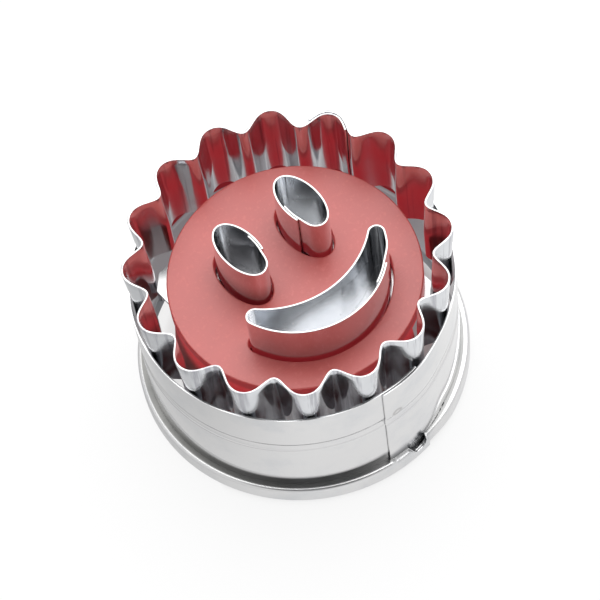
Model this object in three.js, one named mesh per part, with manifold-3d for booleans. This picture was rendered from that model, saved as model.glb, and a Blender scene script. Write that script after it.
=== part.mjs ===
// Linzer cookie cutter: a fluted tin cutter in a grip ring, three inner cutters for a smiling face,
// and a red ejector plate that a sprung push button drives toward the cutting edges.
// Millimetres, +Z up toward the cutting edges, origin at the middle of the grip rim's underside.
// +Y is the top of the face, and the cutter stands on its rolled rim.

import * as THREE from "three";
import { mergeVertices } from "three/addons/utils/BufferGeometryUtils.js";
import Module from "manifold-3d";

const wasm = await Module();
wasm.setup();
const { Manifold, Mesh } = wasm;

// Sheet tin shared by the ring and all cutters
const SHEET = 0.3;
const LAP_GAP = 0.06;
const PART_GAP = 0.3;
const SEAT_GAP = 0.2;

// Fluted outer cutter
const FLUTES = 16;
const CREST_RADIUS = 23.65;
const FLUTE_DEPTH = 2.85;
const FLUTE_SHARPNESS = 0.13;
const FIRST_CREST = 11.25;
const EDGE_HEIGHT = 31.6;
const EDGE_FLARE = 0.55;
const FLUTED_LAP = { start: 41.4, length: 15.8, turn: -1 };

// Grip ring with its locating groove and its rim rolled into a tall, flat-topped hem
const RING_HEIGHT = 24;
const GROOVE_TOP = 16.8;
const GROOVE_WIDTH = 3;
const GROOVE_DEPTH = 0.3;
const HEM_HALF_WIDTH = 0.7;
const HEM_HALF_HEIGHT = 1.55;
const HEM_SQUARENESS = 0.5;
const HEM_STEP = 30;
const HEM_END = 465;
const RING_LAP = { start: -97.8, length: 15.6, turn: 1 };
const NOTCH_WIDTH = 2.4;
const NOTCH_ANGLE = -86.6;
const GROOVE_STEPS = 4;
const RING_STEPS = 64;

// Smiling face: two upright ovals and a crescent, on the centre lines of their strips.
// The face sits a little off the ring's axis and the mouth is turned a little, as welded by hand.
const FACE_X = 0.55;
const FACE_Y = 0.1;
const EYE_HALF_WIDTH = 2.75;
const EYE_HALF_HEIGHT = 5.25;
const EYE_SPACING = 11.86;
const EYE_LEVEL = 4.6;
const EYE_LAP = { start: 205, length: 36 };
const MOUTH_LOWER_RADIUS = 13.1;
const MOUTH_LOWER_LEVEL = -1.7;
const MOUTH_UPPER_RADIUS = 14.9;
const MOUTH_UPPER_LEVEL = 5.5;
const MOUTH_TIP_RADIUS = 1.2;
const MOUTH_TURN = -3.5;
const MOUTH_LAP = { start: 0.855, length: 0.06, turn: -1 };
const FOOT_WIDTH = 3;
const FOOT_LENGTH = 2.2;

// Carrier under the inner cutters, held by two arms in opposite flutes
const CARRIER_TOP = 20.4;
const CARRIER_THICKNESS = 0.5;
const CARRIER_RADIUS = 16.6;
const ARM_ANGLE = 135;
const ARM_WIDTH = 12;
const ARM_TIP_WIDTH = 3.2;
const ARM_TAB_HEIGHT = 3;

// Ejector plate with its skirt and stem, and the push button below
const PLATE_RADIUS = 19.05;
const PLATE_THICKNESS = 2.7;
const PLATE_EDGE = 0.45;
const PLATE_X = 0.38;
const PLATE_Y = -0.24;
const SKIRT_HEIGHT = 12.8;
const SKIRT_WALL = 1.2;
const HOLE_GAP = 0.45;
const TRAVEL = 7.8;
const STEM_RADIUS = 3.2;
const PIN_RADIUS = 2.4;
const BARB_LIP = 0.65;
const BARB_HEIGHT = 1.1;
const SPLIT_WIDTH = 0.9;
const SPLIT_HEIGHT = 6;
const BUTTON_RADIUS = 14;
const BUTTON_FACE = 1.2;
const BUTTON_FLOOR = 2;
const BUTTON_SKIRT_TOP = 6.4;
const BUTTON_WALL = 1.4;
const HUB_WALL = 1;
const BORE_RECESS = 1.7;
const RIBS = 6;
const RIB_WIDTH = 1.2;
const RIB_HEIGHT = 1.8;

// Return spring between the carrier and the button
const SPRING_WIRE = 0.7;
const SPRING_CURLS = 6;
const SPRING_STEPS = 8;
const SPRING_SIDES = 5;

// Heights and radii that follow from the values above
const LAYER = SHEET + LAP_GAP;
const crestOuter = CREST_RADIUS + SHEET / 2;
const ringMiddle = crestOuter + SEAT_GAP + SHEET / 2;
const valleyInner = CREST_RADIUS - FLUTE_DEPTH - SHEET / 2;
const hemMiddle = -Math.min(...thicken(hemLine(0)).map((corner) => corner.y));
const hemTop = hemMiddle + HEM_HALF_HEIGHT + SHEET / 2;
const carrierBottom = CARRIER_TOP - CARRIER_THICKNESS;
const plateBottom = CARRIER_TOP + SHEET + PART_GAP;
const boreRadius = PIN_RADIUS + PART_GAP;
const hubRadius = boreRadius + HUB_WALL;
const hubTop = carrierBottom - TRAVEL - PART_GAP;
const buttonInside = BUTTON_FACE + BUTTON_FLOOR;
const stemHole = STEM_RADIUS + PART_GAP;
const springRadius = hubRadius + PART_GAP + SPRING_WIRE;

function radians(degrees) {
  return (degrees * Math.PI) / 180;
}

// Manifold solids from three.js geometry, and back
function solid(geometry) {
  const bare = new THREE.BufferGeometry();
  bare.setAttribute("position", geometry.getAttribute("position"));
  if (geometry.index) bare.setIndex(geometry.index);
  const welded = mergeVertices(bare, 1e-4);
  const index = Uint32Array.from(welded.index.array);
  const corners = Float32Array.from(welded.getAttribute("position").array);
  return new Manifold(new Mesh({ numProp: 3, vertProperties: corners, triVerts: index }));
}

function geometryOf(body) {
  const mesh = body.getMesh();
  const geometry = new THREE.BufferGeometry();
  geometry.setAttribute("position", new THREE.BufferAttribute(mesh.vertProperties, 3));
  geometry.setIndex(new THREE.BufferAttribute(mesh.triVerts, 1));
  return geometry;
}

function joined(bodies) {
  return bodies.reduce((sum, body) => sum.add(body));
}

// A sheet strip bent along a closed plan outline, from one share of the way around to another.
// Its section is drawn as offset from the outline against height, and shift moves it sideways.
function sheetStrip(outline, section, lap, end, shift, steps) {
  const sections = [];
  for (let step = 0; step <= steps; step += 1) {
    const along = (end * step) / steps;
    const place = lap.start + lap.turn * along;
    const here = outline(place);
    const ahead = outline(place + 1e-4).sub(outline(place - 1e-4)).normalize();
    const outward = new THREE.Vector2(ahead.y, -ahead.x);
    const aside = shift(along);
    sections.push(section.map((corner) => {
      const point = here.clone().addScaledVector(outward, corner.x + aside);
      return [point.x, point.y, corner.y];
    }));
  }
  const sides = section.length;
  const index = [];
  for (let step = 0; step < steps; step += 1) {
    for (let side = 0; side < sides; side += 1) {
      const next = (side + 1) % sides;
      const a = step * sides + side;
      const b = step * sides + next;
      index.push(a, b + sides, b, a, a + sides, b + sides);
    }
  }
  const last = steps * sides;
  for (const [a, b, c] of THREE.ShapeUtils.triangulateShape(section, [])) {
    index.push(a, b, c, last + a, last + c, last + b);
  }
  if (lap.turn < 0) index.reverse();
  const geometry = new THREE.BufferGeometry();
  geometry.setAttribute("position", new THREE.Float32BufferAttribute(sections.flat(2), 3));
  geometry.setIndex(index);
  return geometry;
}

// Both faces of a bent sheet, from the points on its middle, as one closed section
function thicken(middle) {
  const left = [];
  const right = [];
  middle.forEach((point, at) => {
    const before = middle[Math.max(at - 1, 0)];
    const after = middle[Math.min(at + 1, middle.length - 1)];
    const ahead = after.clone().sub(before).normalize();
    const aside = new THREE.Vector2(-ahead.y, ahead.x).multiplyScalar(SHEET / 2);
    left.push(point.clone().add(aside));
    right.unshift(point.clone().sub(aside));
  });
  const loop = [...left, ...right];
  return THREE.ShapeUtils.area(loop) < 0 ? loop.reverse() : loop;
}

// A closed strip's last stretch eases inward and ends under its first stretch
function lappedStrip(outline, section, lap, steps) {
  const under = (along) => -LAYER * THREE.MathUtils.smoothstep(along, 1 - lap.length, 1);
  return sheetStrip(outline, section, lap, 1 + lap.length, under, steps);
}

// An upright sheet with a row of corners at each height
function wallSection(...heights) {
  return thicken(heights.map((height) => new THREE.Vector2(0, height)));
}

// Plan outlines: a share of 1 is once around, counter-clockwise
function circleOutline(radius) {
  return (share) => {
    const angle = share * 2 * Math.PI;
    return new THREE.Vector2(Math.cos(angle), Math.sin(angle)).multiplyScalar(radius);
  };
}

function flutedOutline(share) {
  const angle = share * 2 * Math.PI;
  const wave = FLUTES * (angle - radians(FIRST_CREST));
  const swing = Math.cos(wave) - 1 - FLUTE_SHARPNESS * (Math.cos(2 * wave) - 1);
  const radius = CREST_RADIUS + (FLUTE_DEPTH / 2) * swing;
  return new THREE.Vector2(radius * Math.cos(angle), radius * Math.sin(angle));
}

function eyeOutline(side, grow) {
  return (share) => {
    const angle = share * 2 * Math.PI;
    const x = (side * EYE_SPACING) / 2 + (EYE_HALF_WIDTH + grow) * Math.cos(angle);
    const y = EYE_LEVEL + (EYE_HALF_HEIGHT + grow) * Math.sin(angle);
    return new THREE.Vector2(FACE_X + x, FACE_Y + y);
  };
}

// The crescent's round tips touch the lower arc from inside and the upper arc from outside
function mouthOutline(grow) {
  const lowerReach = MOUTH_LOWER_RADIUS - MOUTH_TIP_RADIUS;
  const upperReach = MOUTH_UPPER_RADIUS + MOUTH_TIP_RADIUS;
  const between = MOUTH_UPPER_LEVEL - MOUTH_LOWER_LEVEL;
  const tipRise = (lowerReach ** 2 - upperReach ** 2 + between ** 2) / (2 * between);
  const tipX = Math.sqrt(lowerReach ** 2 - tipRise ** 2);
  const tipY = MOUTH_LOWER_LEVEL + tipRise;
  const lowerEnd = Math.atan2(tipRise, tipX);
  const upperEnd = Math.atan2(tipY - MOUTH_UPPER_LEVEL, tipX);
  const tip = MOUTH_TIP_RADIUS + grow;
  const path = new THREE.Path();
  const upper = MOUTH_UPPER_RADIUS - grow;
  const lower = MOUTH_LOWER_RADIUS + grow;
  path.absarc(0, MOUTH_UPPER_LEVEL, upper, upperEnd, -Math.PI - upperEnd, true);
  path.absarc(-tipX, tipY, tip, -upperEnd, Math.PI - lowerEnd, false);
  path.absarc(0, MOUTH_LOWER_LEVEL, lower, Math.PI - lowerEnd, 2 * Math.PI + lowerEnd, false);
  path.absarc(tipX, tipY, tip, lowerEnd, Math.PI + upperEnd, false);
  const pivot = new THREE.Vector2(0, MOUTH_LOWER_LEVEL);
  const face = new THREE.Vector2(FACE_X, FACE_Y);
  return (share) => {
    const point = path.getPointAt(share - Math.floor(share));
    return point.rotateAround(pivot, radians(MOUTH_TURN)).add(face);
  };
}

function loopPoints(outline, count) {
  return Array.from({ length: count }, (_, at) => outline(at / count));
}

// Middle of the grip ring's sheet, as offset and height: top edge, groove and straight wall
function ringWall(bottom) {
  const line = [new THREE.Vector2(0, RING_HEIGHT)];
  for (let step = 0; step <= GROOVE_STEPS; step += 1) {
    const share = step / GROOVE_STEPS;
    const inset = (GROOVE_DEPTH / 2) * (1 - Math.cos(2 * Math.PI * share));
    line.push(new THREE.Vector2(-inset, GROOVE_TOP - GROOVE_WIDTH * share));
  }
  line.push(new THREE.Vector2(0, bottom));
  return line;
}

// The rim rolls outward, up and back toward the wall along a squared-off oval, and its lowest
// facet lies flat on the table
function hemLine(middle) {
  const squared = (value) => Math.sign(value) * Math.abs(value) ** HEM_SQUARENESS;
  const line = [];
  for (let angle = 180 + HEM_STEP / 2; angle <= HEM_END; angle += HEM_STEP) {
    const x = HEM_HALF_WIDTH * (1 + squared(Math.cos(radians(angle))));
    line.push(new THREE.Vector2(x, middle + HEM_HALF_HEIGHT * squared(Math.sin(radians(angle)))));
  }
  return line;
}

function shareOf(lap) {
  return { start: lap.start / 360, length: lap.length / 360, turn: lap.turn };
}

// The ring's outer end lies over its inner end, then sinks into the wall it continues.
// Beside that seam the upper side of the hem is notched, which lets the roll turn.
function holderRing() {
  const section = thicken([...ringWall(hemMiddle), ...hemLine(hemMiddle)]);
  const profile = [...section, section[0]].map((at) => new THREE.Vector2(ringMiddle + at.x, at.y));
  const ring = new THREE.LatheGeometry(profile, RING_STEPS);
  ring.rotateX(Math.PI / 2);
  const lap = shareOf(RING_LAP);
  const sink = LAYER + LAP_GAP;
  const over = (along) => LAYER - sink * THREE.MathUtils.smoothstep(along, lap.length, 2 * lap.length);
  const wall = thicken(ringWall(hemTop + LAYER));
  const overlay = sheetStrip(circleOutline(ringMiddle), wall, lap, 2 * lap.length, over, 14);
  const notch = new THREE.BoxGeometry(2 * HEM_HALF_WIDTH, NOTCH_WIDTH, hemTop);
  notch.translate(ringMiddle + SHEET / 2 + LAP_GAP + HEM_HALF_WIDTH, 0, hemMiddle + hemTop / 2);
  notch.rotateZ(radians(NOTCH_ANGLE));
  return geometryOf(solid(ring).subtract(solid(notch)).add(solid(overlay)));
}

// The fluted band is upright inside the grip ring and widens evenly above it
function flutedCutter() {
  const lap = shareOf(FLUTED_LAP);
  const section = wallSection(GROOVE_TOP + PART_GAP, RING_HEIGHT, EDGE_HEIGHT);
  const strip = lappedStrip(flutedOutline, section, lap, FLUTES * 12);
  const corners = strip.attributes.position;
  for (let at = 0; at < corners.count; at += 1) {
    const rise = Math.max(corners.getZ(at) - RING_HEIGHT, 0) / (EDGE_HEIGHT - RING_HEIGHT);
    const growth = 1 + (EDGE_FLARE / CREST_RADIUS) * rise;
    corners.setXY(at, corners.getX(at) * growth, corners.getY(at) * growth);
  }
  return strip;
}

// Foot bent out from a strip's lower edge, welded flat on the carrier
function foot(outline, share) {
  const here = outline(share);
  const ahead = outline(share + 1e-4).sub(outline(share - 1e-4)).normalize();
  const outward = new THREE.Vector2(ahead.y, -ahead.x);
  const middle = here.clone().addScaledVector(outward, FOOT_LENGTH / 2);
  const plate = new THREE.BoxGeometry(FOOT_LENGTH, FOOT_WIDTH, SHEET);
  plate.rotateZ(Math.atan2(outward.y, outward.x));
  plate.translate(middle.x, middle.y, CARRIER_TOP + SHEET / 2);
  return solid(plate);
}

function innerCutter(outline, lap, steps, feet) {
  const wall = lappedStrip(outline, wallSection(CARRIER_TOP, EDGE_HEIGHT), lap, steps);
  return geometryOf(joined([solid(wall), ...feet.map((share) => foot(outline, share))]));
}

function eyeCutter(side) {
  const start = side > 0 ? EYE_LAP.start : 180 - EYE_LAP.start;
  const lap = shareOf({ start, length: EYE_LAP.length, turn: -side });
  return innerCutter(eyeOutline(side, 0), lap, 56, [0.25, 0.75]);
}

function mouthCutter() {
  return innerCutter(mouthOutline(0), MOUTH_LAP, 130, [0.08, 0.2, 0.32]);
}

// Carrier: a round plate with two pointed arms whose tabs turn down against opposite flutes
function carrierPlate() {
  const reach = valleyInner - PART_GAP;
  const taper = (ARM_WIDTH - ARM_TIP_WIDTH) / 2;
  const arms = new THREE.Shape();
  arms.moveTo(reach, -ARM_TIP_WIDTH / 2);
  arms.lineTo(reach, ARM_TIP_WIDTH / 2);
  arms.lineTo(reach - taper, ARM_WIDTH / 2);
  arms.lineTo(taper - reach, ARM_WIDTH / 2);
  arms.lineTo(-reach, ARM_TIP_WIDTH / 2);
  arms.lineTo(-reach, -ARM_TIP_WIDTH / 2);
  arms.lineTo(taper - reach, -ARM_WIDTH / 2);
  arms.lineTo(reach - taper, -ARM_WIDTH / 2);
  arms.closePath();
  const flat = new THREE.ExtrudeGeometry(arms, { depth: CARRIER_THICKNESS, bevelEnabled: false });
  const disc = new THREE.CylinderGeometry(CARRIER_RADIUS, CARRIER_RADIUS, CARRIER_THICKNESS, 64);
  disc.rotateX(Math.PI / 2);
  disc.translate(0, 0, CARRIER_THICKNESS / 2);
  const tabs = [-1, 1].map((end) => {
    const tab = new THREE.BoxGeometry(CARRIER_THICKNESS, ARM_TIP_WIDTH, ARM_TAB_HEIGHT);
    tab.translate(end * (reach - CARRIER_THICKNESS / 2), 0, CARRIER_THICKNESS - ARM_TAB_HEIGHT / 2);
    return solid(tab);
  });
  const hole = new THREE.CylinderGeometry(stemHole, stemHole, 4 * CARRIER_THICKNESS, 32);
  hole.rotateX(Math.PI / 2);
  const body = joined([solid(flat), solid(disc), ...tabs]).subtract(solid(hole));
  const geometry = geometryOf(body);
  geometry.rotateZ(radians(ARM_ANGLE));
  geometry.translate(0, 0, carrierBottom);
  return geometry;
}

// The plate's skirt widens a little downward, just clear of the flutes' valleys, and its two
// notches let the carrier's arms through
function plateSkirt() {
  const outer = PLATE_RADIUS - PLATE_EDGE;
  const inner = outer - SKIRT_WALL;
  const low = plateBottom - SKIRT_HEIGHT;
  const high = plateBottom + PLATE_THICKNESS / 2;
  const foot = valleyInner - Math.hypot(PLATE_X, PLATE_Y) - PART_GAP;
  const start = [foot - SKIRT_WALL, low];
  const corners = [start, [foot, low], [outer, high], [inner, high], start];
  const skirt = new THREE.LatheGeometry(corners.map(([x, y]) => new THREE.Vector2(x, y)), 60);
  skirt.rotateX(Math.PI / 2);
  skirt.translate(PLATE_X, PLATE_Y, 0);
  const notch = new THREE.BoxGeometry(3 * outer, ARM_WIDTH + 2 * PART_GAP, 2 * SKIRT_HEIGHT);
  notch.translate(0, 0, plateBottom - SKIRT_HEIGHT);
  notch.rotateZ(radians(ARM_ANGLE));
  return solid(skirt).subtract(solid(notch));
}

// Ejector plate with rounded edges, holes around the inner cutters, a skirt and a barbed stem
function ejectorPlate() {
  const grow = SHEET / 2 + HOLE_GAP;
  const middle = new THREE.Vector2(PLATE_X, PLATE_Y);
  const rim = loopPoints(circleOutline(PLATE_RADIUS), 60);
  const outer = new THREE.Shape(rim.map((point) => point.add(middle)));
  for (const side of [-1, 1]) {
    outer.holes.push(new THREE.Path(loopPoints(eyeOutline(side, grow), 32)));
  }
  outer.holes.push(new THREE.Path(loopPoints(mouthOutline(grow), 72)));
  const plate = new THREE.ExtrudeGeometry(outer, {
    depth: PLATE_THICKNESS - 2 * PLATE_EDGE,
    bevelThickness: PLATE_EDGE,
    bevelSize: PLATE_EDGE,
    bevelOffset: -PLATE_EDGE,
    bevelSegments: 2,
  });
  plate.translate(0, 0, plateBottom + PLATE_EDGE);
  const shoulder = hubTop + PART_GAP;
  const barbTop = BUTTON_FACE + BORE_RECESS - PART_GAP;
  const barbRadius = PIN_RADIUS + BARB_LIP;
  const stemProfile = [
    new THREE.Vector2(0, plateBottom + 1),
    new THREE.Vector2(0, barbTop - BARB_HEIGHT),
    new THREE.Vector2(PIN_RADIUS, barbTop - BARB_HEIGHT),
    new THREE.Vector2(barbRadius, barbTop - BARB_HEIGHT / 3),
    new THREE.Vector2(barbRadius, barbTop),
    new THREE.Vector2(PIN_RADIUS, barbTop),
    new THREE.Vector2(PIN_RADIUS, shoulder),
    new THREE.Vector2(STEM_RADIUS, shoulder),
    new THREE.Vector2(STEM_RADIUS, plateBottom + 1),
    new THREE.Vector2(0, plateBottom + 1),
  ];
  const stem = new THREE.LatheGeometry(stemProfile, 32);
  stem.rotateX(Math.PI / 2);
  const slot = new THREE.BoxGeometry(SPLIT_WIDTH, 4 * STEM_RADIUS, 2 * SPLIT_HEIGHT);
  slot.translate(0, 0, barbTop - BARB_HEIGHT);
  return geometryOf(joined([solid(plate), plateSkirt(), solid(stem).subtract(solid(slot))]));
}

// Push button: a shallow cup with a hub for the stem, a recess for its barb and stiffening ribs
function pushButton() {
  const round = 0.8;
  const profile = [
    new THREE.Vector2(boreRadius, hubTop),
    new THREE.Vector2(boreRadius, BUTTON_FACE + BORE_RECESS),
    new THREE.Vector2(PIN_RADIUS + BARB_LIP + 2 * PART_GAP, BUTTON_FACE + BORE_RECESS),
    new THREE.Vector2(PIN_RADIUS + BARB_LIP + 2 * PART_GAP, BUTTON_FACE),
  ];
  for (let step = 0; step <= 4; step += 1) {
    const angle = radians(-90 + 22.5 * step);
    const x = BUTTON_RADIUS - round + round * Math.cos(angle);
    profile.push(new THREE.Vector2(x, BUTTON_FACE + round + round * Math.sin(angle)));
  }
  profile.push(new THREE.Vector2(BUTTON_RADIUS, BUTTON_SKIRT_TOP));
  profile.push(new THREE.Vector2(BUTTON_RADIUS - BUTTON_WALL, BUTTON_SKIRT_TOP));
  profile.push(new THREE.Vector2(BUTTON_RADIUS - BUTTON_WALL, buttonInside));
  profile.push(new THREE.Vector2(hubRadius, buttonInside));
  profile.push(new THREE.Vector2(hubRadius, hubTop));
  profile.push(new THREE.Vector2(boreRadius, hubTop));
  const cup = new THREE.LatheGeometry(profile, 42);
  cup.rotateX(Math.PI / 2);
  const inner = springRadius + SPRING_WIRE / 2 + 2 * PART_GAP;
  const outer = BUTTON_RADIUS - BUTTON_WALL / 2;
  const ribs = Array.from({ length: RIBS }, (_, at) => {
    const rib = new THREE.BoxGeometry(outer - inner, RIB_WIDTH, 2 * RIB_HEIGHT);
    rib.translate((inner + outer) / 2, 0, buttonInside);
    rib.rotateZ((2 * Math.PI * at) / RIBS);
    return solid(rib);
  });
  const below = new THREE.CylinderGeometry(BUTTON_RADIUS, BUTTON_RADIUS, BUTTON_FLOOR, 64);
  below.rotateX(Math.PI / 2);
  below.translate(0, 0, buttonInside - BUTTON_FLOOR - BUTTON_FLOOR / 4);
  return geometryOf(solid(cup).add(joined(ribs).subtract(solid(below))));
}

// Return spring: one tube on an even helix around the hub
class SpringCurve extends THREE.Curve {
  getPoint(share, target = new THREE.Vector3()) {
    const angle = share * SPRING_CURLS * 2 * Math.PI;
    const low = buttonInside + PART_GAP + SPRING_WIRE / 2;
    const high = carrierBottom - PART_GAP - SPRING_WIRE / 2;
    const height = low + (high - low) * share;
    return target.set(springRadius * Math.cos(angle), springRadius * Math.sin(angle), height);
  }
}

function returnSpring() {
  const wire = new THREE.Shape(loopPoints(circleOutline(SPRING_WIRE / 2), SPRING_SIDES));
  const curve = new SpringCurve();
  const around = SPRING_STEPS * SPRING_CURLS;
  let nearest = Infinity;
  const points = curve.getPoints(SPRING_CURLS * 48);
  points.forEach((point, at) => {
    for (let other = at + 24; other < points.length; other += 1) {
      nearest = Math.min(nearest, point.distanceTo(points[other]));
    }
  });
  console.log("least gap between spring curls", (nearest - SPRING_WIRE).toFixed(2));
  return new THREE.ExtrudeGeometry(wire, { steps: around, extrudePath: curve, bevelEnabled: false });
}

const tin = { color: 0xc9ccd0, metalness: 0.95, roughness: 0.2 };
const steel = { color: 0xa9adb2, metalness: 0.95, roughness: 0.3 };
const red = { color: 0xb83630, metalness: 0, roughness: 0.4 };

const pieces = [
  ["holder_ring", holderRing(), tin],
  ["fluted_cutter", flutedCutter(), tin],
  ["left_eye_cutter", eyeCutter(-1), tin],
  ["right_eye_cutter", eyeCutter(1), tin],
  ["mouth_cutter", mouthCutter(), tin],
  ["carrier_plate", carrierPlate(), tin],
  ["ejector_plate", ejectorPlate(), red],
  ["push_button", pushButton(), red],
  ["return_spring", returnSpring(), steel],
];

const cutter = new THREE.Group();
cutter.name = "linzer_cookie_cutter";
for (const [name, geometry, finish] of pieces) {
  const mesh = new THREE.Mesh(geometry, new THREE.MeshStandardMaterial(finish));
  mesh.name = name;
  cutter.add(mesh);
}

export default cutter;
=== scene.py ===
# %% [markdown]
# # A linzer cookie cutter in bright tin and red plastic
# The cutter is a handful of tin strips, bent round outlines and lapped at their ends, and two red
# mouldings that push the dough out. The solid model gives every size and every joint. This lesson
# makes the pieces that are seen: smooth bends, soft edges, lap seams and finishes.

# %% Load the frame
import math

import bpy
from mathutils import Matrix, Vector


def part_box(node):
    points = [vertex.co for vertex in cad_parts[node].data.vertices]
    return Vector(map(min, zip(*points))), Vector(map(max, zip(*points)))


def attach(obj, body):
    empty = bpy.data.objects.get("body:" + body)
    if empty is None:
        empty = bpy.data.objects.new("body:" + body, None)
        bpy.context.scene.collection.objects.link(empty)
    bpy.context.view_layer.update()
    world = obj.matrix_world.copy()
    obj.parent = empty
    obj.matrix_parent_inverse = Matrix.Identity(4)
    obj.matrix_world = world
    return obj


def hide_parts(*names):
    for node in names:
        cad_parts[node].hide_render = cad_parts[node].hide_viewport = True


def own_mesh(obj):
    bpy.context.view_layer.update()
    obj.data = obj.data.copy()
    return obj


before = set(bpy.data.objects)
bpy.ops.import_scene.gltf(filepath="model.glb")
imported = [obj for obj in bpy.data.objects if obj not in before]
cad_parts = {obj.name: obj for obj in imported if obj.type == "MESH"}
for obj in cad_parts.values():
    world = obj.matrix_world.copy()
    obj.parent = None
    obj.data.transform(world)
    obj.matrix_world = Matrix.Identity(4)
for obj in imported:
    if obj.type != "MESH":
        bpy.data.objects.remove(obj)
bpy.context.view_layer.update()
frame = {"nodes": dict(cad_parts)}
MM = 0.001
print("solids loaded:", ", ".join(frame["nodes"]))

# %% [markdown]
# ## Camera
# The photograph looks down steeply with a long lens, and the camera is rolled so that the cutter
# leans to the left. A camera is three unit vectors and a place, so its matrix is written out from
# the azimuth, elevation and roll, which avoids three rounds of Euler angles.

# %% Place the camera
AZIMUTH, ELEVATION, ROLL = math.radians(-32), math.radians(60.3), math.radians(9.48)
CAMERA_AWAY, LENS, SENSOR = 405.8 * MM, 162.4, 36
aim = Vector((0.534, -0.334, 16.02)) * MM
upright = Vector((0, 0, 1))
ahead = Vector((-math.sin(AZIMUTH), math.cos(AZIMUTH), 0))
right = Vector((math.cos(AZIMUTH), math.sin(AZIMUTH), 0))
back = upright * math.sin(ELEVATION) - ahead * math.cos(ELEVATION)
up = ahead * math.sin(ELEVATION) + upright * math.cos(ELEVATION)
camera_right = right * math.cos(ROLL) - up * math.sin(ROLL)
camera_up = up * math.cos(ROLL) + right * math.sin(ROLL)
place = aim + back * CAMERA_AWAY
bpy.ops.object.camera_add()
camera = bpy.context.object
camera.matrix_world = Matrix((
    (camera_right.x, camera_up.x, back.x, place.x),
    (camera_right.y, camera_up.y, back.y, place.y),
    (camera_right.z, camera_up.z, back.z, place.z),
    (0, 0, 0, 1),
))
camera.data.lens = LENS
camera.data.sensor_width = SENSOR
camera.data.clip_start = 0.01
bpy.context.scene.camera = camera
print("camera at", [round(v, 3) for v in place])

# %% [markdown]
# ## Node maths
# A finish is arithmetic on noise and distances. Math nodes are slow to read, so one small class
# wraps a socket and lets Python's own operators add them. Its method node makes any other node.


# %% One value in a material
class Wire:
    def __init__(self, tree, socket):
        self.tree, self.socket = tree, socket

    def node(self, kind, settings=None, inputs=None, output=0):
        made = self.tree.nodes.new(kind)
        for name, value in (settings or {}).items():
            setattr(made, name, value)
        for name, value in (inputs or {}).items():
            if isinstance(value, Wire):
                self.tree.links.new(value.socket, made.inputs[name])
            else:
                made.inputs[name].default_value = value
        return Wire(self.tree, made.outputs[output])

    def math(self, operation, other=None, swap=False):
        pair = [self, other][::-1] if swap else [self, other]
        inputs = {at: value for at, value in enumerate(pair) if value is not None}
        return self.node("ShaderNodeMath", {"operation": operation}, inputs)

    def __add__(self, other): return self.math("ADD", other)
    def __radd__(self, other): return self.math("ADD", other, True)
    def __sub__(self, other): return self.math("SUBTRACT", other)
    def __rsub__(self, other): return self.math("SUBTRACT", other, True)
    def __mul__(self, other): return self.math("MULTIPLY", other)
    def __rmul__(self, other): return self.math("MULTIPLY", other, True)

    def rise(self, low, high):
        """0 below low, 1 above high and a smooth step between them."""
        limits = {"From Min": low, "From Max": high, "Value": self}
        return self.node("ShaderNodeMapRange", {"interpolation_type": "SMOOTHSTEP"}, limits)

    def noise(self, scale, detail=2.0, roughness=0.5):
        inputs = {"Vector": self, "Scale": scale, "Detail": detail, "Roughness": roughness}
        return self.node("ShaderNodeTexNoise", None, inputs)

    def stretch(self, factors):
        return self.node("ShaderNodeVectorMath", {"operation": "MULTIPLY"}, {0: self, 1: factors})

    def dot(self, way):
        pair = {0: self, 1: way}
        return self.node("ShaderNodeVectorMath", {"operation": "DOT_PRODUCT"}, pair, "Value")

    def distance(self, point):
        pair = {0: self, 1: point}
        return self.node("ShaderNodeVectorMath", {"operation": "DISTANCE"}, pair, "Value")

    def tint(self, first, second):
        """The Mix node has its colour sockets at places 6 and 7, after those for numbers and vectors."""
        first = (*first, 1) if isinstance(first, tuple) else first
        inputs = {0: self, 6: first, 7: (*second, 1)}
        return self.node("ShaderNodeMix", {"data_type": "RGBA"}, inputs, "Result")


def new_finish(name):
    finish = bpy.data.materials.new(name)
    finish.use_nodes = True
    surface = finish.node_tree.nodes["Principled BSDF"]
    coordinate = finish.node_tree.nodes.new("ShaderNodeTexCoord")
    return finish, surface, Wire(finish.node_tree, coordinate.outputs["Object"])


def height_of(at):
    return at.dot((0, 0, 1))


def radius_of(at):
    return at.stretch((1, 1, 0)).distance((0, 0, 0))


def facing_of(at):
    return at.node("ShaderNodeTexCoord", output="Normal")


def join(wire, surface, socket):
    wire.tree.links.new(wire.socket, surface.inputs[socket])


def bump(height, distance):
    return height.node("ShaderNodeBump", None, {"Height": height, "Distance": distance}, "Normal")


print("node maths ready")
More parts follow.
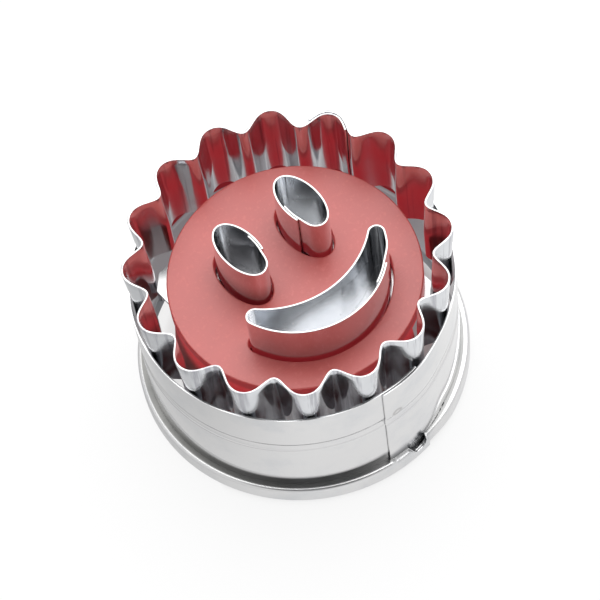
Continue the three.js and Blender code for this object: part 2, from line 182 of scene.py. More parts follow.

# %% [markdown]
# ## Bright tin
# Tinplate is steel sheet with a bright tin skin. It mirrors the room, but a bent strip is never
# quite even: broad soft waves bend the reflections, fingerprints dull them a little, and fine
# rolling lines run along the strip. Cut edges, which face up here, show bare grey steel. Marks that
# only one piece has, such as a weld, a worn rim or painted shade, are functions that change the
# colour, the roughness and the relief. Each is written beside its piece and handed in as one of
# the marks.


# %% Tin finish
def tin_finish(name, dull=0.07, waves=0.02, shine=(0.74, 0.755, 0.78), marks=()):
    finish, surface, at = new_finish(name)
    smudge = at.noise(140, 4, 0.6).rise(0.42, 0.75)
    grain = at.stretch((160, 160, 5200)).noise(1.0, 2, 0.6)
    spots = at.noise(1700, 2).rise(0.66, 0.78)
    cut = facing_of(at).dot((0, 0, 1)).rise(0.7, 0.95) * height_of(at).rise(4 * MM, 5 * MM)
    colour = (smudge * 0.5).tint(shine, (0.61, 0.63, 0.66))
    colour = cut.tint(colour, (0.55, 0.55, 0.55))
    rough = dull + smudge * 0.09 + spots * 0.06 + cut * 0.15
    relief = at.stretch((1, 1, 0.3)).noise(170, 1) + grain * 0.012
    for mark in marks:
        colour, rough, relief = mark(at, colour, rough, relief)
    join(colour, surface, "Base Color")
    join(rough, surface, "Roughness")
    join(bump(relief, waves * MM), surface, "Normal")
    surface.inputs["Metallic"].default_value = 1.0
    return finish


inner_tin = tin_finish("tin of the inner cutters", 0.05, 0.012)
print("tin finish ready")

# %% [markdown]
# ## Red plastic
# The ejector is a moulded red plastic with a soft gloss: a fine orange-peel texture from the
# mould, a slightly uneven red, and pale scuffs where dough and fingers have rubbed it. Light that
# passes through its thin skirt and into the walls of its holes is painted light: a faint red glow.

# %% Plastic finish
red, red_surface, red_at = new_finish("red moulded plastic")
cloud = red_at.noise(70, 3, 0.55)
scuff = red_at.noise(1100, 4, 0.7).rise(0.5, 0.72)
red_colour = cloud.rise(0.3, 0.7).tint((0.42, 0.06, 0.052), (0.48, 0.076, 0.066))
red_colour = (scuff * 0.3).tint(red_colour, (0.62, 0.16, 0.14))
orange_peel = red_at.noise(1300, 2) + red_at.noise(240, 1) * 1.5
join(red_colour, red_surface, "Base Color")
join(0.36 + cloud * 0.08 + scuff * 0.1, red_surface, "Roughness")
join(bump(orange_peel, 0.012 * MM), red_surface, "Normal")
red_surface.inputs["IOR"].default_value = 1.5
red_surface.inputs["Specular IOR Level"].default_value = 0.8

red_height = height_of(red_at)
in_skirt = radius_of(red_at).rise(15 * MM, 17 * MM) * (1 - red_height.rise(21.6 * MM, 23.0 * MM))
lit_far = red_at.dot(tuple(ahead)).rise(-8 * MM, 4 * MM)
lit_skirt = in_skirt * lit_far.math("MAXIMUM", red_height.rise(17 * MM, 20 * MM))
# painted light: the skirt glows red on its far side and near its top
painted_glow = lit_skirt.tint((0, 0, 0), (0.29, 0.013, 0.019))
sideways = 1 - facing_of(red_at).dot((0, 0, 1)).math("ABSOLUTE").rise(0.3, 0.8)
# painted light: the walls of the holes glow a dark red
in_hole = sideways * red_height.rise(20.9 * MM, 21.1 * MM) * (1 - in_skirt)
join((in_hole * 0.9).tint(painted_glow, (0.16, 0.008, 0.012)), red_surface, "Emission Color")
red_surface.inputs["Emission Strength"].default_value = 1.0
print("plastic finish ready")

# %% [markdown]
# ## Spring wire
# The hidden spring is plain drawn steel wire: greyer and duller than the tin, with fine lines from
# the drawing die.

# %% Wire finish
steel, steel_surface, steel_at = new_finish("drawn spring wire")
die_lines = steel_at.noise(2600, 3, 0.6)
steel_colour = die_lines.rise(0.3, 0.7).tint((0.5, 0.5, 0.52), (0.63, 0.63, 0.65))
join(steel_colour, steel_surface, "Base Color")
join(0.25 + die_lines * 0.15, steel_surface, "Roughness")
join(bump(die_lines, 0.01 * MM), steel_surface, "Normal")
steel_surface.inputs["Metallic"].default_value = 1.0
print("wire finish ready")

# %% [markdown]
# ## From flat strip to bent wall
# Every tin wall here began as a flat strip, so that is how it is made: a grid whose columns run
# along the strip and whose rows run across it. Each vertex is moved to its place on the outline.
# The strip is a little longer than the outline, so its last stretch ends under its first one, as
# on the real lap seam. Solidify then gives the sheet its thickness and Bevel softens the cut edge.
# Weighted Normal lets the tall wall faces outweigh that small bevel, so that the wall mirrors like
# a flat sheet right up to its edge.

# %% Strip helpers
SHEET = 0.3 * MM
LAYER = 0.36 * MM
EDGE_BEVEL = 0.07 * MM


def deselect_all():
    if bpy.context.object and bpy.context.object.mode != "OBJECT":
        bpy.ops.object.mode_set(mode="OBJECT")
    bpy.ops.object.select_all(action="DESELECT")


def pick(piece):
    deselect_all()
    piece.select_set(True)
    bpy.context.view_layer.objects.active = piece


def smooth_step(value, low, high):
    share = min(max((value - low) / (high - low), 0.0), 1.0)
    return share * share * (3 - 2 * share)


def bend_strip(name, outline, lap, columns, rows_at, lean=Vector((0, 0))):
    """rows_at(along) lists the offset from the outline and the height of each row of the strip."""
    across = len(rows_at(0.0)) - 1
    foot, head = rows_at(0.0)[0][1], rows_at(0.0)[-1][1]
    deselect_all()
    bpy.ops.mesh.primitive_grid_add(x_subdivisions=columns, y_subdivisions=across, size=2)
    strip = bpy.context.object
    strip.name = name
    for vertex in strip.data.vertices:
        along = (vertex.co.x + 1) / 2 * (1 + lap["length"])
        row = round((vertex.co.y + 1) / 2 * across)
        share = lap["start"] + lap["turn"] * along
        middle = Vector(outline(share))
        forward = Vector(outline(share + 1e-4)) - Vector(outline(share - 1e-4))
        outward = Vector((forward.y, -forward.x)).normalized()
        offset, height = rows_at(along)[row]
        spot = middle + outward * offset + lean * ((height - foot) / (head - foot))
        vertex.co = (spot.x, spot.y, height)
    strip.location = (0, 0, 0)
    return strip


def lap_under(along, lap):
    """How far the strip's end steps inward to lie under its start."""
    return -LAYER * smooth_step(along, 1 - lap["length"], 1)


def lapped_rows(bottom, top, lap):
    def rows_at(along):
        under = lap_under(along, lap)
        return [(under, bottom), (under, top)]
    return rows_at


def apply_modifier(piece, kind, **settings):
    pick(piece)
    bpy.ops.object.modifier_add(type=kind)
    modifier = piece.modifiers[-1]
    for name, value in settings.items():
        setattr(modifier, name, value)
    bpy.ops.object.modifier_apply(modifier=modifier.name)


def sheet_wall(strip, even=True):
    apply_modifier(strip, "SOLIDIFY", thickness=SHEET, offset=0, use_even_offset=even)
    corner = math.radians(50)
    apply_modifier(strip, "BEVEL", width=EDGE_BEVEL, segments=2, limit_method="ANGLE", angle_limit=corner)


def finish_piece(piece, finish, body, node, angle=32):
    pick(piece)
    bpy.ops.object.mode_set(mode="EDIT")
    bpy.ops.mesh.select_all(action="SELECT")
    bpy.ops.mesh.normals_make_consistent(inside=False)
    bpy.ops.object.mode_set(mode="OBJECT")
    bpy.ops.object.shade_smooth_by_angle(angle=math.radians(angle))
    apply_modifier(piece, "WEIGHTED_NORMAL", keep_sharp=True)
    piece.data.materials.clear()
    piece.data.materials.append(finish)
    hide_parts(node)
    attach(piece, body)
    print(piece.name, len(piece.data.polygons), "faces")


print("strip helpers ready")

# %% [markdown]
# ## Fluted cutter
# The outer cutter is a strip pressed into sixteen round flutes. A cosine on the radius gives even
# waves; the real crests are broader than the valleys, so a second, faster cosine flattens the
# crests and sharpens the valleys. Above the grip ring the whole outline grows a little.
#
# The press leaves upright lines on the tin, and the rolling lines along the strip smear each
# reflection up and down. The surface's Anisotropic value does that smearing.


# %% Fluted cutter
FLUTES, CREST, DEPTH, SHARPNESS = 16, 23.65 * MM, 2.85 * MM, 0.13
FIRST_CREST = math.radians(11.25)
EDGE, RING_TOP, EDGE_FLARE = 31.59 * MM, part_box("holder_ring")[1][2], 0.55 * MM
fluted_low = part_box("fluted_cutter")[0]
fluted_lap = {"start": 41.4 / 360, "length": 15.8 / 360, "turn": -1}


def fluted_outline(share):
    angle = share * 2 * math.pi
    wave = FLUTES * (angle - FIRST_CREST)
    swing = math.cos(wave) - 1 - SHARPNESS * (math.cos(2 * wave) - 1)
    radius = CREST + DEPTH / 2 * swing
    return radius * math.cos(angle), radius * math.sin(angle)


def fluted_rows(along):
    heights = [RING_TOP + (EDGE - RING_TOP) * step / 5 for step in range(6)]
    return [(lap_under(along, fluted_lap), height) for height in [fluted_low[2], *heights]]


def press_lines(at, colour, rough, relief):
    lines = at.stretch((800, 800, 14)).noise(1.0, 3, 0.65)
    colour = (lines.rise(0.5, 0.68) * 0.5).tint(colour, (0.24, 0.23, 0.28))
    return colour, rough, relief + lines * 0.5


fluted_tin = tin_finish("tin with press lines", 0.13, marks=[press_lines])
rolled = fluted_tin.node_tree.nodes["Principled BSDF"].inputs
rolled["Anisotropic"].default_value = 0.8
rolled["Anisotropic Rotation"].default_value = 0.25

fluted = bend_strip("fluted_band", fluted_outline, fluted_lap, 720, fluted_rows)
for vertex in fluted.data.vertices:
    rise = max(vertex.co.z - RING_TOP, 0) / (EDGE - RING_TOP)
    vertex.co.xy *= 1 + EDGE_FLARE / CREST * rise
sheet_wall(fluted)
finish_piece(fluted, fluted_tin, "cutter", "fluted_cutter")

# %% [markdown]
# ## Eye cutters
# Each eye is a narrow strip bent into an upright oval. The two are mirror images, lap seams
# included, so one function makes both and the side sets the sign. Both lean a little in the
# photograph, and painted shade darkens the left one lower down.

# %% Eye cutters
EYE_WIDE, EYE_TALL, EYE_APART, EYE_LEVEL = 2.75 * MM, 5.25 * MM, 11.86 * MM, 4.6 * MM
FACE = Vector((0.55, 0.1)) * MM
aside, away = Vector(right[:2]), Vector(ahead[:2])
EYE_LEAN = {-1: aside * 0.26 * MM, 1: (aside * 0.12 + away * 0.22) * MM}
LEAN_ROOM = 0.01 * MM


def eye_outline(side, grow=0.0):
    def outline(share):
        angle = share * 2 * math.pi
        x = side * EYE_APART / 2 + (EYE_WIDE + grow) * math.cos(angle)
        return FACE.x + x, FACE.y + EYE_LEVEL + (EYE_TALL + grow) * math.sin(angle)
    return outline


def low_painted_shade(at, colour, rough, relief):
    # painted shade: the left eye grows darker toward the plate, below 29 mm
    low = 1 - height_of(at).rise(23.5 * MM, 29 * MM)
    return (low * 0.62).tint(colour, (0.12, 0.11, 0.12)), rough, relief


left_eye_shaded_tin = tin_finish("tin of the left eye", 0.05, 0.012, marks=[low_painted_shade])
for side, name, finish in ((-1, "left_eye", left_eye_shaded_tin), (1, "right_eye", inner_tin)):
    node = name + "_cutter"
    low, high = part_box(node)
    lap = {"start": (205 if side > 0 else -25) / 360, "length": 0.1, "turn": -side}
    eye_rows = lapped_rows(low[2], high[2] - LEAN_ROOM, lap)
    eye = bend_strip(name + "_band", eye_outline(side), lap, 200, eye_rows, EYE_LEAN[side])
    sheet_wall(eye)
    finish_piece(eye, finish, "cutter", node)

# %% [markdown]
# ## Mouth cutter
# The smile is a crescent: a large arc below, a flatter arc above and two small round tips. The tip
# circles touch the lower arc from inside and the upper one from outside, which fixes their centres.
# Walking the four arcs in turn, by length, gives one outline for the strip and for the plate's hole.

# %% Mouth cutter
LOWER_RADIUS, LOWER_LEVEL = 13.1 * MM, -1.7 * MM
UPPER_RADIUS, UPPER_LEVEL, TIP_RADIUS = 14.9 * MM, 5.5 * MM, 1.2 * MM
MOUTH_TURN = Matrix.Rotation(math.radians(-3.5), 2)


def mouth_outline(grow=0.0):
    inner, outer = LOWER_RADIUS - TIP_RADIUS, UPPER_RADIUS + TIP_RADIUS
    between = UPPER_LEVEL - LOWER_LEVEL
    rise = (inner ** 2 - outer ** 2 + between ** 2) / (2 * between)
    tip_x, tip_y = math.sqrt(inner ** 2 - rise ** 2), LOWER_LEVEL + rise
    low_end = math.atan2(rise, tip_x)
    top_end = math.atan2(tip_y - UPPER_LEVEL, tip_x)
    tip = TIP_RADIUS + grow
    arcs = [
        (0, UPPER_LEVEL, UPPER_RADIUS - grow, top_end, -math.pi - top_end),
        (-tip_x, tip_y, tip, -top_end, math.pi - low_end),
        (0, LOWER_LEVEL, LOWER_RADIUS + grow, math.pi - low_end, 2 * math.pi + low_end),
        (tip_x, tip_y, tip, low_end, math.pi + top_end),
    ]
    lengths = [radius * abs(stop - start) for _, _, radius, start, stop in arcs]
    whole = sum(lengths)
    pivot = Vector((0, LOWER_LEVEL))

    def outline(share):
        left = (share % 1.0) * whole
        for (x, y, radius, start, stop), length in zip(arcs, lengths):
            if left <= length:
                break
            left -= length
        angle = start + (stop - start) * left / length
        point = Vector((x + radius * math.cos(angle), y + radius * math.sin(angle)))
        return FACE + pivot + MOUTH_TURN @ (point - pivot)
    return outline


mouth_low, mouth_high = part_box("mouth_cutter")
mouth_lap = {"start": 0.855, "length": 0.06, "turn": -1}
mouth_rows = lapped_rows(mouth_low[2], mouth_high[2], mouth_lap)
mouth = bend_strip("mouth_band", mouth_outline(), mouth_lap, 420, mouth_rows)
sheet_wall(mouth)
finish_piece(mouth, inner_tin, "cutter", "mouth_cutter")

# %% [markdown]
# ## Grip ring
# The grip ring is one wide strip: a plain top edge, a shallow groove that the fluted band stands
# on, a straight wall and a rim folded outward and up into a tall, flat-topped hem. The hem is three
# quarter turns with straight stretches between, drawn as one line and then sampled at even steps.
# The lap pressed the hem's outer edge down a little, and just past it the fold was cut to let it
# turn, so there the line stops early and the hem shows its dark inside.

# %% Grip ring shape
RING_MIDDLE = 24.15 * MM
GROOVE_TOP, GROOVE_LOW, GROOVE_STEP, GROOVE_DEEP = 16.9 * MM, 14.4 * MM, 0.3 * MM, 0.2 * MM
GROOVE_SLOPE = 0.6
HEM_WIDE, HEM_LOW, HEM_TOP, HEM_BEND = 1.37 * MM, 0.16 * MM, 3.19 * MM, 0.45 * MM
HEM_DENT, HEM_TUCK, HEM_STEPS = 0.4 * MM, 0.02 * MM, 45
DENT_BEGINS, DENT_ENDS = (-98, -96), (-89, -86)
OPEN_AT, OPEN_WIDE, OPEN_SHARE = -86.3, 3.5, 0.42
ring_lap = {"start": -97.8 / 360, "length": 15.6 / 360, "turn": 1}


def ring_outline(share):
    angle = share * 2 * math.pi
    return RING_MIDDLE * math.cos(angle), RING_MIDDLE * math.sin(angle)


def hem_line(over, dent):
    """The folded hem as offsets and heights; a layer that lies inside the fold is smaller by over."""
    bend = HEM_BEND - over / 2
    inner, outer = over + bend, HEM_WIDE - over - bend
    low, high = HEM_LOW + over + bend, HEM_TOP - over - bend
    line = []
    for x, z, start in ((inner, low, 180), (outer, low, 270), (outer, high - dent, 0)):
        for step in range(7):
            angle = math.radians(start + 15 * step)
            line.append(Vector((x + bend * math.cos(angle), z + bend * math.sin(angle))))
    line.append(Vector((over - HEM_TUCK, high + bend)))
    return line


def along_line(line, share):
    lengths = [(b - a).length for a, b in zip(line, line[1:])]
    left = share * sum(lengths)
    for start, stop, length in zip(line, line[1:], lengths):
        if left <= length:
            break
        left -= length
    return start.lerp(stop, min(left / length, 1))


def ring_rows(along):
    over = LAYER * (1 - smooth_step(along, ring_lap["length"], 2 * ring_lap["length"]))
    slope = (GROOVE_TOP - GROOVE_LOW) * GROOVE_SLOPE
    rows = [(over, RING_TOP)]
    for step in range(9):
        inset = GROOVE_DEEP * smooth_step(step, 0, 8)
        rows.append((over - inset, GROOVE_TOP - slope * step / 8))
    for step in range(5):
        inset = GROOVE_DEEP * (1 - smooth_step(step, 0, 4))
        rows.append((over - inset, GROOVE_LOW - GROOVE_STEP * step / 4))
    rows.append((over, HEM_TOP))
    degrees = ((ring_lap["start"] + along) * 360 + 180) % 360 - 180
    pressed = smooth_step(degrees, *DENT_BEGINS) * (1 - smooth_step(degrees, *DENT_ENDS))
    line = hem_line(over, HEM_DENT * pressed)
    reach = 1 - OPEN_SHARE * math.exp(-((degrees - OPEN_AT) / OPEN_WIDE) ** 4)
    rows += [tuple(along_line(line, reach * step / HEM_STEPS)) for step in range(HEM_STEPS + 1)]
    return rows


ring = bend_strip("grip_band", ring_outline, ring_lap, 600, ring_rows)
sheet_wall(ring, even=False)
print("grip ring bent")

# %% [markdown]
# A spot weld beside the seam left a small ring with a faint heat stain. The rim is rubbed dull,
# and painted shade darkens the hem and the corner between the wall and the hem: widest at the
# left, a thin line at the right. Painted shade also darkens the inside of the ring and tints it
# blue.


# %% Grip ring finish
WELD = (-1.25 * MM, -24.3 * MM, 16.7 * MM)


def spot_weld(at, colour, rough, relief):
    gap = at.distance(WELD)
    ring_mark = gap.rise(0.45 * MM, 0.7 * MM) * (1 - gap.rise(0.8 * MM, 1.05 * MM))
    stain = 1 - gap.rise(0.6 * MM, 1.5 * MM)
    colour = (stain * 0.25).tint(colour, (0.5, 0.47, 0.44))
    colour = (ring_mark * 0.45).tint(colour, (0.34, 0.33, 0.33))
    return colour, rough + stain * 0.1, relief - ring_mark * 1.5


def worn_rim_and_painted_shade(at, colour, rough, relief):
    height, across = height_of(at), at.dot(tuple(right))
    # the hem below 3.3 mm is rubbed rougher and darkened with painted shade
    rim_wear_and_shade = 1 - height.rise(3.3 * MM, 3.6 * MM)
    slim = across.rise(16 * MM, 22.5 * MM)
    # painted shade in the corner between the wall and the hem: darkest at the left, thin at the right
    painted_shade = 0.22 + slim * 0.3 + (1 - across.rise(-20 * MM, 2 * MM)) * 0.46
    low = 1 - height.rise(4.4 * MM - slim * 0.9 * MM, 5.8 * MM - slim * 2 * MM)
    near = 1 - radius_of(at).rise(24.95 * MM - slim * 0.25 * MM, 25.35 * MM - slim * 0.45 * MM)
    colour = ((low * painted_shade + rim_wear_and_shade * 0.26) * near).tint(colour, (0.1, 0.1, 0.095))
    # painted shade: the inner face of the ring is darkened and tinted blue
    inside = 1 - facing_of(at).dot(at).rise(-12 * MM, 0.0)
    colour = (inside * 0.5).tint(colour, (0.22, 0.25, 0.3))
    return colour, rough + rim_wear_and_shade * 0.22, relief


ring_marks = [spot_weld, worn_rim_and_painted_shade]
ring_tin = tin_finish("tin of the grip ring", 0.08, 0.012, (0.76, 0.757, 0.758), ring_marks)
finish_piece(ring, ring_tin, "cutter", "holder_ring")

# %% [markdown]
# ## Carrier plate
# The carrier is a flat stamping under the red plate. Only the tip of one arm and a little of its
# top are seen, between the walls, so its solid is right as it is and takes the tin finish.

# %% Carrier plate
carrier = bpy.data.objects["carrier_plate"]
carrier.data.materials.clear()
carrier.data.materials.append(tin_finish("bright tin"))
print("carrier plate keeps its solid")

# %% [markdown]
# ## Ejector plate
# A filled 2D curve makes a plate with holes at once: the outer circle and the three hole outlines
# are its loops, Extrude gives the thickness, and the curve's own bevel rounds every edge by the
# same amount. It is then turned into a mesh.

# %% Ejector disc
PLATE_RADIUS, PLATE_TOP, PLATE_LOW, PLATE_ROUND = 19.05 * MM, 23.7 * MM, 21.0 * MM, 0.25 * MM
PLATE_OFF = Vector((0.38, -0.24)) * MM
HOLE_GROW = 0.47 * MM


def plate_outline(share):
    turn = share * 2 * math.pi
    return PLATE_OFF.x + PLATE_RADIUS * math.cos(turn), PLATE_OFF.y + PLATE_RADIUS * math.sin(turn)


def as_mesh(name, curve):
    piece = bpy.data.objects.new(name, curve)
    bpy.context.collection.objects.link(piece)
    pick(piece)
    bpy.ops.object.convert(target="MESH")
    return bpy.context.object


sketch = bpy.data.curves.new("plate_sketch", "CURVE")
sketch.dimensions, sketch.fill_mode = "2D", "BOTH"
for outline, count in (
    (plate_outline, 240),
    (eye_outline(-1, HOLE_GROW), 120),
    (eye_outline(1, HOLE_GROW), 120),
    (mouth_outline(HOLE_GROW), 320),
):
    loop = sketch.splines.new("POLY")
    loop.points.add(count - 1)
    loop.use_cyclic_u = True
    for at, point in enumerate(loop.points):
        point.co = (*outline(at / count), 0, 1)
sketch.extrude = (PLATE_TOP - PLATE_LOW) / 2 - PLATE_ROUND
sketch.bevel_depth, sketch.bevel_resolution, sketch.offset = PLATE_ROUND, 3, -PLATE_ROUND
plate = as_mesh("ejector_disc", sketch)
bpy.ops.object.mode_set(mode="EDIT")
bpy.ops.mesh.select_all(action="SELECT")
bpy.ops.mesh.remove_doubles(threshold=1e-7)
bpy.ops.object.mode_set(mode="OBJECT")
for vertex in plate.data.vertices:
    vertex.co.z += (PLATE_TOP + PLATE_LOW) / 2
print("ejector disc", len(plate.data.polygons), "faces")

# %% [markdown]
# A stem and a drafted skirt hang under the disc. Each is a closed profile of radius and height
# that Spin turns once about Z. Boolean cuts the slot that lets the stem's barb spring in, and the
# skirt's two notches for the carrier's arms. The three are then joined into one piece.


# %% Ejector stem and skirt
def spun(name, profile, steps):
    """A closed profile of radius and height, turned once about Z."""
    deselect_all()
    bpy.ops.mesh.primitive_circle_add(vertices=len(profile), radius=0.001)
    turned = bpy.context.object
    turned.name = name
    for vertex, (radius, height) in zip(turned.data.vertices, profile):
        vertex.co = (radius, 0, height)
    turned.location = (0, 0, 0)
    bpy.ops.object.mode_set(mode="EDIT")
    bpy.ops.mesh.select_all(action="SELECT")
    bpy.ops.mesh.spin(steps=steps, angle=2 * math.pi, center=(0, 0, 0), axis=(0, 0, 1))
    bpy.ops.mesh.select_all(action="SELECT")
    bpy.ops.mesh.remove_doubles(threshold=1e-7)
    bpy.ops.mesh.dissolve_degenerate(threshold=1e-7)
    bpy.ops.mesh.select_all(action="SELECT")
    bpy.ops.mesh.normals_make_consistent(inside=False)
    bpy.ops.object.mode_set(mode="OBJECT")
    return turned


def cut_slot(piece, size, height, turn):
    """Cuts a box of the given size, set at a height and turned about Z, out of a piece."""
    deselect_all()
    bpy.ops.mesh.primitive_cube_add(size=1)
    block = bpy.context.object
    spin = Matrix.Rotation(math.radians(turn), 3, "Z")
    for vertex in block.data.vertices:
        corner = Vector((vertex.co.x * size[0], vertex.co.y * size[1], height + vertex.co.z * size[2]))
        vertex.co = spin @ corner
    apply_modifier(piece, "BOOLEAN", object=block, operation="DIFFERENCE", solver="EXACT")
    bpy.data.objects.remove(block)


def join_pieces(first, *others):
    pick(first)
    for piece in others:
        piece.select_set(True)
    bpy.ops.object.join()
    return first


PIN, STEM, BARB = 2.4 * MM, 3.2 * MM, 3.05 * MM
BARB_LOW, BARB_SLOPE, BARB_TOP, SHOULDER = 1.5 * MM, 0.73 * MM, 2.6 * MM, 12.1 * MM
STEM_SLOT, STEM_INTO_PLATE = (0.9 * MM, 13 * MM, 12 * MM), 0.5 * MM
stem_top = PLATE_LOW + STEM_INTO_PLATE
stem = spun("ejector_stem", [
    (0, stem_top), (0, BARB_LOW), (PIN, BARB_LOW), (BARB, BARB_LOW + BARB_SLOPE),
    (BARB, BARB_TOP), (PIN, BARB_TOP), (PIN, SHOULDER), (STEM, SHOULDER), (STEM, stem_top),
], 72)
cut_slot(stem, STEM_SLOT, BARB_LOW, 0)

SKIRT_OUT, SKIRT_FOOT, SKIRT_WALL, SKIRT_LOW = 18.6 * MM, 19.88 * MM, 1.2 * MM, 8.2 * MM
SKIRT_EDGE, SKIRT_INTO_PLATE = 0.2 * MM, 1 * MM
NOTCH_WIDE, NOTCH_LONG, ARM_ANGLE = 12.6 * MM, 60 * MM, 135
skirt_top = PLATE_LOW + SKIRT_INTO_PLATE
inner_foot = SKIRT_FOOT - SKIRT_WALL
skirt = spun("ejector_skirt", [
    (SKIRT_OUT - SKIRT_WALL, skirt_top), (inner_foot, SKIRT_LOW + SKIRT_EDGE),
    (inner_foot + SKIRT_EDGE, SKIRT_LOW), (SKIRT_FOOT - SKIRT_EDGE, SKIRT_LOW),
    (SKIRT_FOOT, SKIRT_LOW + SKIRT_EDGE), (SKIRT_OUT, skirt_top),
], 120)
for vertex in skirt.data.vertices:
    vertex.co.xy += PLATE_OFF
cut_slot(skirt, (NOTCH_LONG, NOTCH_WIDE, 2 * (PLATE_LOW - SKIRT_LOW)), SKIRT_LOW, ARM_ANGLE)
plate = join_pieces(plate, stem, skirt)
finish_piece(plate, red, "ejector", "ejector_plate")

# %% [markdown]
# ## Push button
# The button is a shallow moulded cup. Its wall, hub and barb recess are one profile, so Spin turns
# it; the ribs are thin blades added round the hub and joined.

# %% Push button
BUTTON, BUTTON_FACE, BUTTON_IN, BUTTON_TOP = 14.0 * MM, 1.2 * MM, 3.2 * MM, 6.4 * MM
BUTTON_WALL, FACE_ROUND, LIP_ROUND = 1.4 * MM, 0.8 * MM, 0.3 * MM
BORE, HUB, HUB_TOP, RECESS, RECESS_TOP = 2.7 * MM, 3.7 * MM, 11.8 * MM, 3.65 * MM, 2.9 * MM
CHAMFER = 0.2 * MM
RIBS, RIB_MIDDLE, RIB_LONG, RIB_WIDE, RIB_TALL = 6, 9.5 * MM, 7.2 * MM, 1.2 * MM, 2.2 * MM
RIB_LIFT, RIB_BEVEL = 0.7 * MM, 0.25 * MM


def rounded(centre_x, centre_y, radius, start):
    """Six points of a quarter turn that rounds a convex corner of a profile."""
    points = []
    for step in range(6):
        angle = math.radians(start + 18 * step)
        points.append((centre_x + radius * math.cos(angle), centre_y + radius * math.sin(angle)))
    return points


inner_wall = BUTTON - BUTTON_WALL
button_profile = [(BORE, HUB_TOP), (BORE, RECESS_TOP), (RECESS, RECESS_TOP)]
button_profile += [(RECESS, BUTTON_FACE + CHAMFER), (RECESS + CHAMFER, BUTTON_FACE)]
button_profile += rounded(BUTTON - FACE_ROUND, BUTTON_FACE + FACE_ROUND, FACE_ROUND, -90)
button_profile += rounded(BUTTON - LIP_ROUND, BUTTON_TOP - LIP_ROUND, LIP_ROUND, 0)
button_profile += rounded(inner_wall + LIP_ROUND, BUTTON_TOP - LIP_ROUND, LIP_ROUND, 90)
button_profile += [(inner_wall, BUTTON_IN), (HUB, BUTTON_IN), (HUB, HUB_TOP - CHAMFER)]
button_profile += [(HUB - CHAMFER, HUB_TOP)]
button = spun("button_cup", button_profile, 120)
ribs = []
for turn in range(RIBS):
    deselect_all()
    bpy.ops.mesh.primitive_cube_add(size=1)
    rib = bpy.context.object
    spin = Matrix.Rotation(turn * 2 * math.pi / RIBS, 4, "Z")
    for vertex in rib.data.vertices:
        reach = RIB_MIDDLE + vertex.co.x * RIB_LONG
        height = BUTTON_IN + RIB_LIFT + vertex.co.z * RIB_TALL
        vertex.co = spin @ Vector((reach, vertex.co.y * RIB_WIDE, height))
    apply_modifier(rib, "BEVEL", width=RIB_BEVEL, segments=2)
    ribs.append(rib)
button = join_pieces(button, *ribs)
finish_piece(button, red, "ejector", "push_button")

# %% [markdown]
# ## Return spring
# The spring is one wire on an even helix between the button and the carrier. A curve with a round
# bevel draws it smoothly. When the button is pressed the spring shortens toward the carrier; here it
# is drawn between the ends of its solid.

# %% Return spring
WIRE, COIL, CURLS, TRAVEL = 0.7 * MM, 4.7 * MM, 6, 7.8 * MM
POINTS_PER_CURL = 48
spring_low, spring_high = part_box("return_spring")
helix = bpy.data.curves.new("spring_helix", "CURVE")
helix.dimensions = "3D"
helix.bevel_depth, helix.bevel_resolution, helix.use_fill_caps = WIRE / 2, 4, True
line = helix.splines.new("POLY")
steps = CURLS * POINTS_PER_CURL
line.points.add(steps)
bottom, top = spring_low[2] + WIRE / 2, spring_high[2] - WIRE / 2
for at, point in enumerate(line.points):
    angle = at / steps * CURLS * 2 * math.pi
    height = bottom + (top - bottom) * at / steps
    point.co = (COIL * math.cos(angle), COIL * math.sin(angle), height, 1)
spring = as_mesh("spring_wire", helix)
finish_piece(spring, steel, "cutter", "return_spring", 60)
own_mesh(spring)

# %% [markdown]
# ## Floor and light
# Bright tin shows whatever is around it, so the light is mostly a white room: white paper below
# and a large soft box behind and above. Light Path tells the rays apart. The camera sees plain
# white paper round the cutter, and mirrored rays see it nearly white, with painted shade toward
# the left. Inside the ring the paper mostly keeps its own shade. Painted light brightens the open
# gap at the left for the camera, and the far side for mirrored rays.

# %% Floor
deselect_all()
bpy.ops.mesh.primitive_plane_add(size=3)
floor = bpy.context.object
floor.name = "studio_floor"
paper, paper_surface, paper_at = new_finish("white paper")
paper_surface.inputs["Base Color"].default_value = (0.86, 0.86, 0.86, 1)
paper_surface.inputs["Roughness"].default_value = 0.9


def ray_is(kind):
    return paper_at.node("ShaderNodeLightPath", output=f"Is {kind} Ray")


across, along = paper_at.dot(tuple(right)), paper_at.dot(tuple(ahead))
outside = paper_at.distance((0, 0, 0)).rise(21 * MM, 27 * MM)
# painted light: the open gap at the left is brighter to the camera
open_gap_painted_light = 1 - across.rise(-19 * MM, -15 * MM)
lit_side = across.rise(-45 * MM, 0.0)
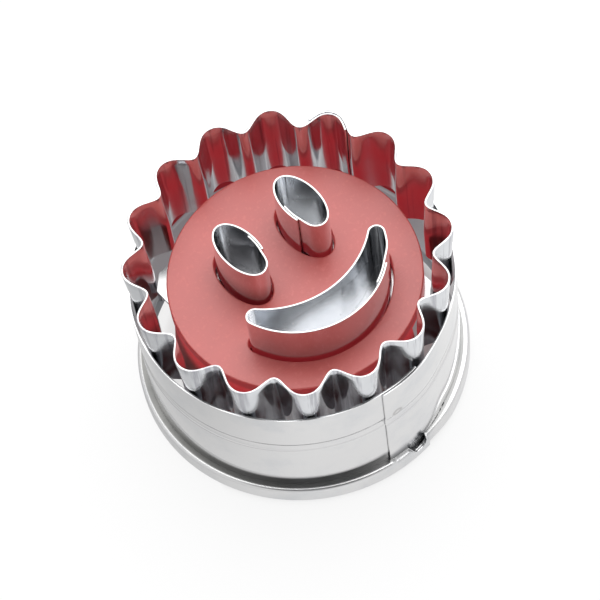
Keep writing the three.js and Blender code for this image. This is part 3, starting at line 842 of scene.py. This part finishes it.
# painted light: the far side is brighter to mirrored rays
far_side_painted_light = along.rise(-6 * MM, 14 * MM)
mirrored = ray_is("Glossy").math("MAXIMUM", ray_is("Transmission"))
reflected = 0.1 + (outside + far_side_painted_light * 0.35).math("MINIMUM", 1.0) * 0.75
direct = 0.15 + (outside + open_gap_painted_light * 0.8).math("MINIMUM", 1.0) * 0.7
seen = ray_is("Camera") * direct + mirrored * reflected
# painted shade: mirrored rays see the paper darker toward the left
shade = ray_is("Camera") + mirrored * (0.48 + lit_side * 0.44)
tone = shade.tint((0, 0, 0), (1, 1, 1))
white = paper_at.node("ShaderNodeEmission", None, {"Color": tone, "Strength": 1.0})
shaded = Wire(paper.node_tree, paper_surface.outputs[0])
blend = paper_at.node("ShaderNodeMixShader", None, {0: seen, 1: shaded, 2: white})
paper.node_tree.links.new(blend.socket, paper.node_tree.nodes["Material Output"].inputs["Surface"])
floor.data.materials.append(paper)
print("floor ready")

# %% [markdown]
# The room is a sky that depends on direction only: white all round, and dark at the camera itself.
# The dark patch draws the tin's dark lines.

# %% Room and lamp
world = bpy.data.worlds.new("white room")
bpy.context.scene.world = world
world.use_nodes = True
sky = world.node_tree.nodes["Background"]
coordinate = world.node_tree.nodes.new("ShaderNodeTexCoord")
toward = Wire(world.node_tree, coordinate.outputs["Generated"])
unlit = toward.dot(tuple(back)).rise(0.82, 0.96)
join(unlit.tint((0.92, 0.92, 0.92), (0.04, 0.04, 0.045)), sky, "Color")
sky.inputs["Strength"].default_value = 0.9

BOX_AWAY, BOX_SIZE, BOX_POWER = 0.6, 0.75, 4.2
lit_point = Vector((0, 0, 0.02))
deselect_all()
bpy.ops.object.light_add(type="AREA")
lamp = bpy.context.object
lamp.name = "back_box"
lamp.data.shape, lamp.data.size, lamp.data.energy = "SQUARE", BOX_SIZE, BOX_POWER
lamp_way = (ahead * 0.4 + right * 0.1 + upright * 0.9).normalized()
lamp.location = lamp_way * BOX_AWAY + lit_point
lamp.rotation_euler = lamp_way.to_track_quat("Z", "Y").to_euler()
bpy.context.scene.view_settings.view_transform = "Standard"
print("room and lamp ready")
